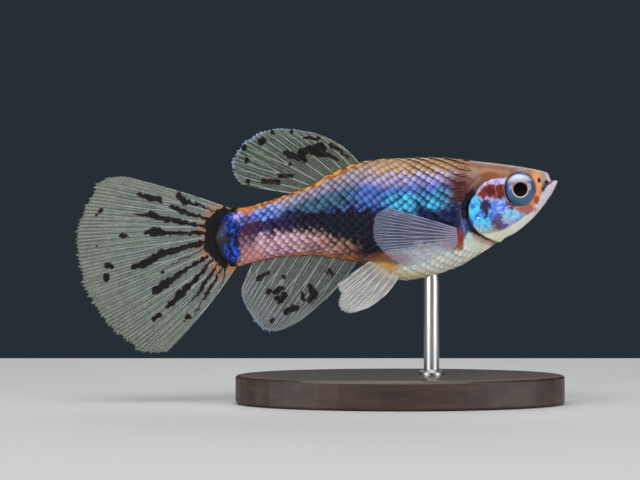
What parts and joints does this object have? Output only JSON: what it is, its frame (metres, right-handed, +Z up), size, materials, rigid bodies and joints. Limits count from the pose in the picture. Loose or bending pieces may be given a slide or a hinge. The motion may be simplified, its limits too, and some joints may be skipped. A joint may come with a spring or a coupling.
{
  "type": "fancy guppy display model",
  "caption": "Life-size still model of a fancy guppy with a fanned tail, raised fins and free gill covers, held over an oval wooden base by a slim steel rod.",
  "frame": {"origin": "centre of the stand's flat underside, where it rests on a table", "axes": "+X towards the fish's head, +Y towards its left side, +Z up"},
  "size_m": [0.0508, 0.018, 0.0285],
  "materials": {
    "head_skin": "moist orange-brown skin",
    "jaw_skin": "moist pale skin",
    "gill_cover": "iridescent blue",
    "flank_skin": "iridescent blue and tan scales",
    "tail_flesh": "iridescent scales",
    "eye": "wet and glossy",
    "fin_membrane": "thin spotted membrane",
    "pale_fin_membrane": "thin clear membrane",
    "stand_wood": "dark satin",
    "stand_steel": "satin"
  },
  "bodies": {
    "root": {"head": "head_skin", "lower_jaw": "jaw_skin", "gill_cover_right": "gill_cover", "gill_cover_left": "gill_cover", "eye_right": "eye", "eye_left": "eye", "trunk": "flank_skin", "rear_trunk": "flank_skin", "tail_stalk": "tail_flesh", "dorsal_fin": "fin_membrane", "anal_fin": "fin_membrane", "tail_fin": "fin_membrane", "pectoral_fin_right": "pale_fin_membrane", "pectoral_fin_left": "pale_fin_membrane", "pelvic_fin_right": "pale_fin_membrane", "pelvic_fin_left": "pale_fin_membrane", "stand_base": "stand_wood", "stand_rod": "stand_steel"}
  },
  "joints": []
}
